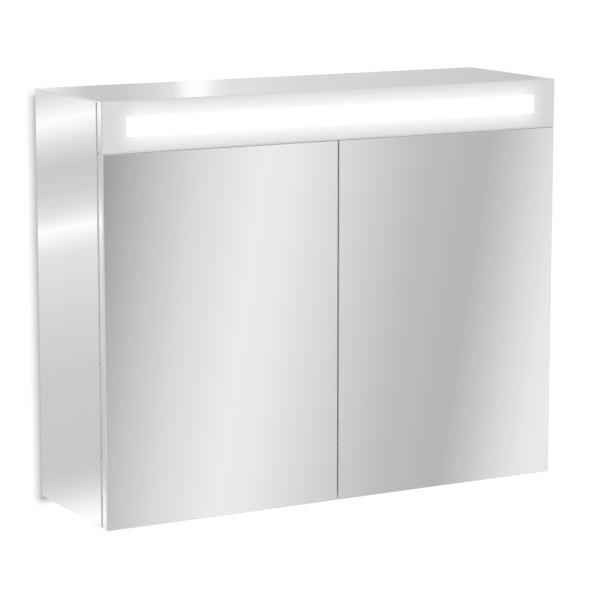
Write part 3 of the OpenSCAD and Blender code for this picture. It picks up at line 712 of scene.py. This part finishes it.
# behind the cabinet and below the horizon, nearly level and stacked
SIDE_BANDS = [
    (0.0, "#FFFFFF"), (0.04, "#EEEEEE"), (0.067, "#DEDEDE"), (0.094, "#D0D0D0"), (0.125, "#C8C8C8"),
    (0.31, "#CACACA"), (0.467, "#D5D5D5"), (0.6, "#E2E2E2"), (0.628, "#F0F0F0"), (0.656, "#FEFEFE"),
    (0.68, "#E9E9E9"), (0.706, "#DADADA"), (0.736, "#D1D1D1"), (0.785, "#C9C9C9"), (0.817, "#D4D4D4"),
    (0.844, "#E3E3E3"), (0.872, "#F4F4F4"), (0.89, "#FEFEFE"), (0.922, "#ECECEC"), (0.95, "#DADADA"),
    (1.0, "#FFFFFF"),
]
# straight above and below the cabinet
STEEP_BANDS = [
    (0.0, "#CACACA"), (0.25, "#D9D9D9"), (0.42, "#F2F2F2"), (0.52, "#EAEAEA"), (0.75, "#D6D6D6"),
    (1.0, "#CACACA"),
]
# the tall bands: how wide a pattern is, where it starts and how far it leans per unit of rise
BAND_TURN = math.radians(12)
FRONT_START = math.radians(25.4)
FRONT_LEAN = math.radians(7.95)
TOP_START = math.radians(22.9)
# the stacked bands: their height and start as a rise, and how far they climb per radian
SIDE_RISE = 0.18
SIDE_START = -0.347
SIDE_LEAN = 0.2
# the steep bands: how many patterns there are to a unit of the look, and their lean
STEEP_COUNT = 2.6
STEEP_LEAN = 0.4
# where one set of bands goes over into the next, as a rise or as a part of the look
LEVEL_BLUR = 0.02
REAR_BLUR = 0.1
STEEP_FROM = 0.45
STEEP_FULL = 0.7
# the share of what it sees that a mirror gives back
MIRROR_SHARE = 0.9

# the sides of the round floor, and how far behind the cabinet the wall stands
FLOOR_STEPS = 96
WALL_GAP = 0.5 * MM
# the soft lamp's width, and its place from the point that the camera looks at
LAMP_SIZE = 2.0
LAMP_PLACE = Vector((-2.0, -2.8, 2.2))


def studio_world(settings):
    """Plain light all round, white where the camera looks past the cabinet, and soft bands for mirrors."""
    world = bpy.data.worlds.new("studio")
    world.use_nodes = True
    tree = world.node_tree
    tree.nodes.clear()
    # the direction of a look, one unit long
    look = add(tree, "ShaderNodeTexCoord").outputs["Generated"]
    x, y, z = add(tree, "ShaderNodeSeparateXYZ", None, look).outputs
    angle = add(tree, "ShaderNodeMath", {"operation": "ARCSINE"}, z)
    rise = add(tree, "ShaderNodeMath", {"operation": "TANGENT"}, angle)

    def bands(turn, per_turn, per_rise, start, stops):
        """Repeats the bands over a turn about Z, in radians, and over the rise above the horizon."""
        share = start
        for measure, count in ((rise, per_rise), (turn, per_turn)):
            share = add(tree, "ShaderNodeMath", {"operation": "MULTIPLY_ADD"}, measure, count, share)
        step = add(tree, "ShaderNodeMath", {"operation": "FRACT"}, share)
        return add(tree, "ShaderNodeValToRGB", {"stops": stops}, step)

    toward = add(tree, "ShaderNodeMath", {"operation": "MULTIPLY"}, y, -1.0)
    ahead = add(tree, "ShaderNodeMath", {"operation": "ARCTAN2"}, x, toward)
    behind = add(tree, "ShaderNodeMath", {"operation": "ARCTAN2"}, x, y)
    aside = add(tree, "ShaderNodeMath", {"operation": "ABSOLUTE"}, behind)
    slant = add(tree, "ShaderNodeMath", {"operation": "MULTIPLY_ADD"}, y, STEEP_LEAN, x)
    turn = 1 / BAND_TURN
    front = bands(ahead, turn, -FRONT_LEAN * turn, -FRONT_START * turn, FRONT_BANDS)
    top = bands(behind, turn, 0.0, -TOP_START * turn, TOP_BANDS)
    side = bands(aside, -SIDE_LEAN / SIDE_RISE, 1 / SIDE_RISE, -SIDE_START / SIDE_RISE, SIDE_BANDS)
    steep = bands(slant, STEEP_COUNT, 0.0, 0.0, STEEP_BANDS)

    # each set takes over from the ones before it where its own measure goes from none to full
    upright = add(tree, "ShaderNodeMath", {"operation": "ABSOLUTE"}, z)
    around = top
    for tone, measure, none, full in (
        (side, rise, LEVEL_BLUR, -LEVEL_BLUR),
        (front, y, REAR_BLUR, -REAR_BLUR),
        (steep, upright, STEEP_FROM, STEEP_FULL),
    ):
        share = add(tree, "ShaderNodeMapRange", {"From Min": none, "From Max": full}, measure)
        # a Mix node's two colours come after five sockets for other kinds of value
        mix = add(tree, "ShaderNodeMix", {"data_type": "RGBA"}, share, *[None] * 5, around, tone)
        around = mix.outputs[2]

    path = add(tree, "ShaderNodeLightPath")
    light = add(tree, "ShaderNodeBackground", None, WHITE, settings.ambient)
    seen = add(tree, "ShaderNodeBackground", None, WHITE, 1.0)
    mirrored = add(tree, "ShaderNodeBackground", None, around, 1 / MIRROR_SHARE)
    for ray, other in (
        ("Is Glossy Ray", mirrored), ("Is Camera Ray", seen), ("Is Transmission Ray", seen),
    ):
        light = add(tree, "ShaderNodeMixShader", None, path.outputs[ray], light, other)
    add(tree, "ShaderNodeOutputWorld", None, light)
    bpy.context.scene.world = world


def pale_floor():
    """Plain pale floor that shows white where the camera sees it, apart from the cabinet's shadow."""
    # its own glow, which makes the grey paint come out white where it is looked at
    lift = 0.25

    def build(tree, place):
        path = add(tree, "ShaderNodeLightPath")
        seen = path.outputs["Is Camera Ray"]
        for ray in ("Is Glossy Ray", "Is Transmission Ray"):
            seen = add(tree, "ShaderNodeMath", {"operation": "MAXIMUM"}, seen, path.outputs[ray])
        glow = add(tree, "ShaderNodeMath", {"operation": "MULTIPLY"}, seen, lift)
        looks = {"Base Color": colour("#ECECEC"), "Roughness": 0.8}
        glows = {"Emission Color": WHITE, "Emission Strength": glow}
        paint = add(tree, "ShaderNodeBsdfPrincipled", {**looks, **glows})
        # from below the floor is open, so that it never hides the cabinet
        side = add(tree, "ShaderNodeNewGeometry").outputs["Backfacing"]
        gone = add(tree, "ShaderNodeBsdfTransparent")
        return add(tree, "ShaderNodeMixShader", None, side, paint, gone)

    return material("pale_floor_paint", build)


def shaded_wall():
    """A wall that shows nothing but a painted soft shadow close to the cabinet, beside it and under it."""
    # the shadow is painted by place, as if the light came from above: it fades out towards the top and is
    # full under the base
    reach = 18 * MM
    full_under = 5 * MM
    top_fade = 15 * MM
    ease = 1.5

    def build(tree, place):
        at = add(tree, "ShaderNodeSeparateXYZ", None, place)
        across = add(tree, "ShaderNodeMath", {"operation": "ABSOLUTE"}, at.outputs["X"])
        up = at.outputs["Z"]
        # only the camera sees it, and only from the front
        seen = add(tree, "ShaderNodeLightPath").outputs["Is Camera Ray"]
        behind = add(tree, "ShaderNodeNewGeometry").outputs["Backfacing"]
        share = add(tree, "ShaderNodeMath", {"operation": "SUBTRACT", "use_clamp": True}, seen, behind)
        for measure, none, full in (
            (across, cad_high.x + reach, cad_high.x),
            (up, cad_low.z - reach, cad_low.z - full_under),
            (up, cad_high.z, cad_high.z - top_fade),
        ):
            part = add(tree, "ShaderNodeMapRange", {"From Min": none, "From Max": full}, measure)
            share = add(tree, "ShaderNodeMath", {"operation": "MULTIPLY"}, share, part)
        eased = add(tree, "ShaderNodeMath", {"operation": "POWER"}, share, ease)
        # tone of the painted shadow, from none to its darkest
        stops = [(0.0, "#FFFFFF"), (1.0, "#BABABA")]
        tone = add(tree, "ShaderNodeValToRGB", {"stops": stops}, eased)
        return add(tree, "ShaderNodeBsdfTransparent", None, tone)

    return material("shaded_wall", build)


# ---- operators ----


class CABINET_OT_stage(Operator):
    """Sets up the camera, the floor, the lamp and the light from all round"""

    bl_idname = "cabinet.stage"
    bl_label = "Studio"

    def execute(self, context):
        settings = context.scene.cabinet_studio
        context.scene.view_settings.view_transform = "Standard"
        studio_world(settings)

        back = Vector((
            -math.sin(settings.azimuth) * math.cos(settings.elevation),
            -math.cos(settings.azimuth) * math.cos(settings.elevation),
            math.sin(settings.elevation),
        ))
        aim = (cad_low + cad_high) / 2 - Vector((0, 0, settings.aim_drop))
        camera = bpy.data.objects.new("camera", bpy.data.cameras.new("camera"))
        camera.data.lens = settings.lens
        camera.location = aim + back * settings.distance
        camera.rotation_euler = (-back).to_track_quat("-Z", "Y").to_euler()
        context.scene.collection.objects.link(camera)
        context.scene.camera = camera

        lamp = bpy.data.objects.new("key_lamp", bpy.data.lights.new("key_lamp", "AREA"))
        lamp.data.size = LAMP_SIZE
        lamp.data.energy = settings.key_power
        lamp.location = aim + LAMP_PLACE
        lamp.rotation_euler = (aim - lamp.location).to_track_quat("-Z", "Y").to_euler()
        lamp.visible_glossy = False
        lamp.visible_camera = False
        context.scene.collection.objects.link(lamp)

        bm = bmesh.new()
        under = Matrix.Translation((0, (cad_low.y + cad_high.y) / 2, cad_low.z - settings.floor_drop))
        bmesh.ops.create_circle(
            bm, cap_ends=True, radius=settings.floor_radius, segments=FLOOR_STEPS, matrix=under
        )
        new_object("floor", bm, [pale_floor()])

        bm = bmesh.new()
        upright = Matrix.Translation((0, WALL_GAP, (cad_low.z + cad_high.z) / 2))
        upright @= Matrix.Rotation(math.pi / 2, 4, "X")
        bmesh.ops.create_grid(bm, x_segments=1, y_segments=1, size=settings.wall_half, matrix=upright)
        new_object("wall", bm, [shaded_wall()])
        return {"FINISHED"}


def pane(node, axis, arris, finish, edge_finish):
    """Stands a glass pane with arrises in the place of a CAD pane that is square to an axis."""
    bm = bmesh.new()
    add_box(bm, *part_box(node))
    soften(bm, bm.edges, arris, 1)
    facing(bm, axis, 0, 1)
    stand_in(node, "pane", bm, [finish, edge_finish])


def board_copy(node, width, finish, edge_finish):
    """Stands a copy of a CAD board in its place, with softened arrises and edging on its front and back."""
    bm = merged_copy(node)
    soften(bm, outer_edges(bm, *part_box(node)), width, 2)
    facing(bm, Y, 1, 0)
    stand_in(node, "board", bm, [finish, edge_finish])


def rounded_copy(node, width, finish):
    """Stands a copy of a CAD node in its place, with its sharp outer edges rounded."""
    bm = merged_copy(node)
    soften(bm, [edge for edge in bm.edges if edge.is_convex and edge.calc_face_angle(0) > SHARP], width, 2)
    stand_in(node, "rounded", bm, [finish])


def sink_cross(bm, head, radius, depth):
    """Chamfers the rim of a screw's round head and sinks a cross in its middle."""
    chamfer = 0.1 * radius
    rim = list(head.verts)
    bmesh.ops.inset_individual(bm, faces=[head], thickness=chamfer)
    bmesh.ops.translate(bm, verts=rim, vec=head.normal * -chamfer)

    # the cross is a square of nine tiles without the corner ones, which are the furthest out
    reach = 0.6 * radius
    corner_from = 0.8 * reach
    place = lying_on(head)
    middle = place.translation
    around = list(head.edges)
    bmesh.ops.delete(bm, geom=[head], context="FACES_ONLY")
    grid = bmesh.ops.create_grid(bm, x_segments=3, y_segments=3, size=reach, matrix=place)["verts"]
    tiles = list(dict.fromkeys(face for vert in grid for face in vert.link_faces))
    corners = [tile for tile in tiles if (tile.calc_center_median() - middle).length > corner_from]
    cross = [tile for tile in tiles if tile not in corners]
    bmesh.ops.delete(bm, geom=corners, context="FACES")
    outline = dict.fromkeys(edge for tile in cross for edge in tile.edges if edge.is_boundary)
    bmesh.ops.triangle_fill(bm, use_beauty=True, edges=around + list(outline))
    sunk = bmesh.ops.extrude_face_region(bm, geom=cross)["geom"]
    bmesh.ops.delete(bm, geom=cross, context="FACES")
    floor = [item for item in sunk if isinstance(item, bmesh.types.BMVert)]
    bmesh.ops.translate(bm, verts=floor, vec=place.to_3x3() @ Vector((0, 0, -depth)))


def crossed_screws(node, finish):
    """Stands copies of a CAD node's screws in its place, with a cross sunk in each head."""
    share = bpy.context.scene.cabinet_fittings.cross_depth
    bm = merged_copy(node)
    for head, radius in round_ends(bm):
        sink_cross(bm, head, radius, share * radius)
    bmesh.ops.recalc_face_normals(bm, faces=bm.faces)
    stand_in(node, "crossed", bm, [finish])


def leaf_copy(node, axis, end):
    """Stands a copy of hinge leaves in their place, with round corners at their ends along an axis."""
    radius = bpy.context.scene.cabinet_fittings.leaf_corner
    bm = merged_copy(node)
    corners = [edge for edge in edges_at(bm, axis, end) if lies_at(edge, Z, edge.verts[0].co.z)]
    soften(bm, corners, radius, 5)
    stand_in(node, "cut", bm, [nickel_plate()])


class CABINET_OT_mirrors(Operator):
    """Lays silvered glass with ground arrises on the sides and on both faces of the doors"""

    bl_idname = "cabinet.mirrors"
    bl_label = "Mirrors"

    def execute(self, context):
        glass = context.scene.cabinet_glass
        panes = [
            ("side_mirror", X, glass.arris),
            ("door_mirror", Y, glass.door_arris),
            ("inner_mirror", Y, glass.arris),
        ]
        for kind, axis, arris in panes:
            for node in both(kind):
                pane(node, axis, arris, silvered_glass(), ground_glass_edge())
        return {"FINISHED"}


class CABINET_OT_light_panel(Operator):
    """Finishes the lit panel: coated glass, opal window, housing and light strip"""

    bl_idname = "cabinet.light_panel"
    bl_label = "Light panel"

    def execute(self, context):
        low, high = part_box("header_glass")
        bm = merged_copy("header_glass")
        soften(bm, outer_edges(bm, low, high), context.scene.cabinet_glass.arris, 1)
        facing(bm, Y, 0, 1)
        stand_in("header_glass", "pane", bm, [coated_panel_glass(), ground_glass_edge()])
        cap_edge = 0.2 * MM
        bm = merged_copy("header_end_caps")
        soften(bm, bm.edges, cap_edge, 2)
        put(
            "header_end_plates", bm, body_of("header_end_caps"), [polished_aluminium()],
            ["header_end_caps"],
        )
        give(["light_diffuser"], opal_acrylic())
        give(["header_housing"], mill_aluminium())
        give(["header_spacers"], grey_polyamide())
        crossed_screws("header_screws", zinc_plate())
        give(["led_board"], solder_mask())
        give(["led_chips"], light_phosphor())
        self.hang_seal(low, high, context.scene.cabinet_fittings.seal_gap)
        return {"FINISHED"}

    def hang_seal(self, low, high, gap):
        """Hangs a soft seal from the panel's lower edge, which keeps steam out above the doors."""
        setback = 0.8 * MM
        nose_radius = 0.8 * MM
        end_gap = 0.5 * MM
        depth = 12 * MM
        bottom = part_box("door_mirror_left")[1].z + gap
        bm = bmesh.new()
        add_box(
            bm, (low.x + end_gap, low.y + setback, bottom),
            (high.x - end_gap, low.y + setback + depth, low.z),
        )
        soften(bm, edges_at(bm, Z, bottom), nose_radius, 3)
        put("door_seal", bm, body_of("header_glass"), [soft_seal()])


class CABINET_OT_side_seals(Operator):
    """Lines the shadow gap with soft seals on the front edges of the sides, between the hinges"""

    bl_idname = "cabinet.side_seals"
    bl_label = "Side seals"

    def execute(self, context):
        board_low, board_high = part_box("side_panel_right")
        nose_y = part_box("door_core_right")[1].y + context.scene.cabinet_fittings.seal_gap
        inset = 1 * MM
        end_gap = 0.4 * MM
        width = 5 * MM
        nose_radius = 1.5 * MM
        ends = [board_low.z + inset]
        for low, high in solid_heights("hinge_pins"):
            ends += [low - end_gap, high + end_gap]
        ends.append(board_high.z - inset)
        outer = board_high.x - inset
        bm = bmesh.new()
        for side in SIDES.values():
            across = sorted((side * outer, side * (outer - width)))
            for low, high in zip(ends[::2], ends[1::2]):
                add_box(bm, (across[0], nose_y, low), (across[1], board_low.y, high))
        soften(bm, edges_at(bm, Y, nose_y), nose_radius, 4)
        put("side_seals", bm, body_of("side_panel_right"), [soft_seal()])
        return {"FINISHED"}


class CABINET_OT_carcass(Operator):
    """Finishes the boards, the back panel and the top sheet"""

    bl_idname = "cabinet.carcass"
    bl_label = "Carcass"

    def execute(self, context):
        boards = ["bottom_panel", "top_panel", "centre_partition", "front_rail", "rear_batten"]
        width = context.scene.cabinet_fittings.board_edge
        for name in both("side_panel") + boards + ["electrics_cover"]:
            board_copy(name, width, white_melamine(), abs_edging())
        give(["back_panel"], painted_hardboard())
        for name in ("carcass_screws", "electrics_cover_screws"):
            crossed_screws(name, zinc_plate())
        sheet_edge = 0.3 * MM
        low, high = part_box("top_cover")
        bm = bmesh.new()
        add_box(bm, low, high)
        soften(bm, edges_at(bm, Z, high.z), sheet_edge, 2)
        stand_in("top_cover", "sheet", bm, [polished_aluminium()])
        return {"FINISHED"}


class CABINET_OT_doors(Operator):
    """Finishes the doors' boards with polished edging and lacquered backs, and their bumpers"""

    bl_idname = "cabinet.doors"
    bl_label = "Doors"

    def execute(self, context):
        for side in SIDES:
            node = f"door_core_{side}"
            low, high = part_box(node)
            bm = merged_copy(node)
            for face in bm.faces:
                on_edge = lies_at(face, X, low.x) or lies_at(face, X, high.x)
                face.material_index = 0 if on_edge else 1
            stand_in(node, "board", bm, [polished_aluminium(), satin_lacquer()])
        give(both("door_bumpers"), clear_rubber())
        return {"FINISHED"}


class CABINET_OT_hinges(Operator):
    """Rounds the corners of the hinge leaves, and finishes the hinges and their screws"""

    bl_idname = "cabinet.hinges"
    bl_label = "Hinges"

    def execute(self, context):
        left, right = both("hinge_door_leaves")
        leaf_copy("hinge_frame_leaves", Y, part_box("hinge_frame_leaves")[1].y)
        leaf_copy(left, X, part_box(left)[1].x)
        leaf_copy(right, X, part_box(right)[0].x)
        for name in ["hinge_frame_screws"] + both("hinge_door_screws"):
            crossed_screws(name, nickel_plate())
        give(["hinge_pins"], ground_steel())
        return {"FINISHED"}


class CABINET_OT_latches(Operator):
    """Finishes the push latches and their strike plates"""

    bl_idname = "cabinet.latches"
    bl_label = "Push latches"

    def execute(self, context):
        width = context.scene.cabinet_fittings.moulded_edge
        for name in both("latch_body"):
            rounded_copy(name, width, white_abs())
        for name in both("strike_plate"):
            rounded_copy(name, 0.5 * width, nickel_plate())
        give(both("latch_plunger"), nickel_plate())
        return {"FINISHED"}


class CABINET_OT_shelves(Operator):
    """Makes the glass shelves with polished edges, and finishes their pins"""

    bl_idname = "cabinet.shelves"
    bl_label = "Shelves"

    def execute(self, context):
        arris = context.scene.cabinet_shelves.arris
        for side in SIDES:
            for level in ("lower", "upper"):
                node = f"shelf_{side}_{level}"
                pane(node, Z, arris, shelf_float_glass(), shelf_glass_edge())
        self.turn_pins(context.scene.cabinet_shelves.collar)
        return {"FINISHED"}

    def turn_pins(self, collar):
        """Turns each pin with a collar that stops at its board and a chamfered free end."""
        side_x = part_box("side_panel_right")[0].x
        partition_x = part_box("centre_partition")[1].x
        middle_x = (side_x + partition_x) / 2
        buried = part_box("shelf_pins")[1].x - side_x
        thick = 0.6 * MM
        chamfer = 0.4 * MM
        old = merged_copy("shelf_pins")
        bm = bmesh.new()
        for end, radius in round_ends(old):
            tip = end.calc_center_median()
            if end.normal.x * (math.copysign(middle_x, tip.x) - tip.x) < 0:
                continue
            out = min(abs(abs(tip.x) - side_x), abs(abs(tip.x) - partition_x))
            foot = tip - end.normal * out
            turned(bm, foot, end.normal.copy(), [
                (0, -buried), (radius, -buried), (radius, 0), (collar, 0), (collar, thick),
                (radius, thick), (radius, out - chamfer), (radius - chamfer, out), (0, out),
            ])
        old.free()
        bmesh.ops.recalc_face_normals(bm, faces=bm.faces)
        stand_in("shelf_pins", "turned", bm, [nickel_plate()])


class CABINET_OT_electrics(Operator):
    """Finishes the driver, the terminal block, the wires, the gland and the switch"""

    bl_idname = "cabinet.electrics"
    bl_label = "Electrics"

    def execute(self, context):
        width = context.scene.cabinet_fittings.moulded_edge
        for name in ("led_driver", "terminal_block", "switch_box"):
            rounded_copy(name, width, white_abs())
        give(["switch_rocker"], white_abs())
        give(["wiring"], wire_sheath())
        give(["cable_gland"], grey_polyamide())
        self.mark_rocker()
        return {"FINISHED"}

    def mark_rocker(self):
        """Raises a bar on the rocker's upper half, for on, and a ring on its lower half, for off."""
        proud = 0.3 * MM
        bar_width = 0.8 * MM
        bar_length = 3.4 * MM
        ring_inner = 1.1 * MM
        ring_outer = 1.8 * MM
        # the rocker's two halves are its largest faces towards the front
        rocker = merged_copy("switch_rocker")
        fronts = [face for face in rocker.faces if face.normal.y < 0]
        fronts.sort(key=lambda face: -face.normal.y * face.calc_area())
        halves = sorted(fronts[-2:], key=lambda face: face.calc_center_median().z)
        lower, upper = (lying_on(face) for face in halves)
        rocker.free()
        bm = bmesh.new()
        size = Matrix.Diagonal((bar_width, bar_length, 2 * proud, 1.0))
        bmesh.ops.create_cube(bm, size=1.0, matrix=upper @ size)
        out = lower.to_3x3() @ Vector((0, 0, 1))
        turned(bm, lower.translation, out, [
            (ring_inner, -proud), (ring_outer, -proud), (ring_outer, proud), (ring_inner, proud),
        ])
        bmesh.ops.recalc_face_normals(bm, faces=bm.faces)
        put("rocker_marks", bm, body_of("switch_rocker"), [grey_polyamide()])


class CABINET_OT_wall_fixing(Operator):
    """Finishes the wall brackets and the hangers"""

    bl_idname = "cabinet.wall_fixing"
    bl_label = "Wall fixing"

    def execute(self, context):
        fittings = context.scene.cabinet_fittings
        for name in ("wall_brackets", "hanger_hooks"):
            rounded_copy(name, 0.5 * fittings.moulded_edge, zinc_plate())
        crossed_screws("hanger_screws", zinc_plate())
        rounded_copy("hanger_bodies", fittings.moulded_edge, white_abs())
        return {"FINISHED"}


OPERATORS = [
    CABINET_OT_stage,
    CABINET_OT_mirrors,
    CABINET_OT_light_panel,
    CABINET_OT_side_seals,
    CABINET_OT_carcass,
    CABINET_OT_doors,
    CABINET_OT_hinges,
    CABINET_OT_latches,
    CABINET_OT_shelves,
    CABINET_OT_electrics,
    CABINET_OT_wall_fixing,
]


class CABINET_PT_pieces(Panel):
    """Lists the cabinet's operators and sizes in the sidebar"""

    bl_idname = "CABINET_PT_pieces"
    bl_label = "Mirror cabinet"
    bl_space_type = "VIEW_3D"
    bl_region_type = "UI"
    bl_category = "Cabinet"

    def draw(self, context):
        for operator in OPERATORS:
            self.layout.operator(operator.bl_idname)
        for name, group in SETTINGS.items():
            box = self.layout.box()
            for key in group.__annotations__:
                box.prop(getattr(context.scene, name), key)


def register():
    for cls in [*SETTINGS.values(), *OPERATORS, CABINET_PT_pieces]:
        bpy.utils.register_class(cls)
    for name, group in SETTINGS.items():
        setattr(bpy.types.Scene, name, PointerProperty(type=group))


def unregister():
    for name in SETTINGS:
        delattr(bpy.types.Scene, name)
    for cls in reversed([*SETTINGS.values(), *OPERATORS, CABINET_PT_pieces]):
        bpy.utils.unregister_class(cls)


def main():
    """Makes every piece in order."""
    register()
    for operator in OPERATORS:
        group, call = operator.bl_idname.split(".")
        getattr(getattr(bpy.ops, group), call)()


if __name__ == "__main__":
    main()
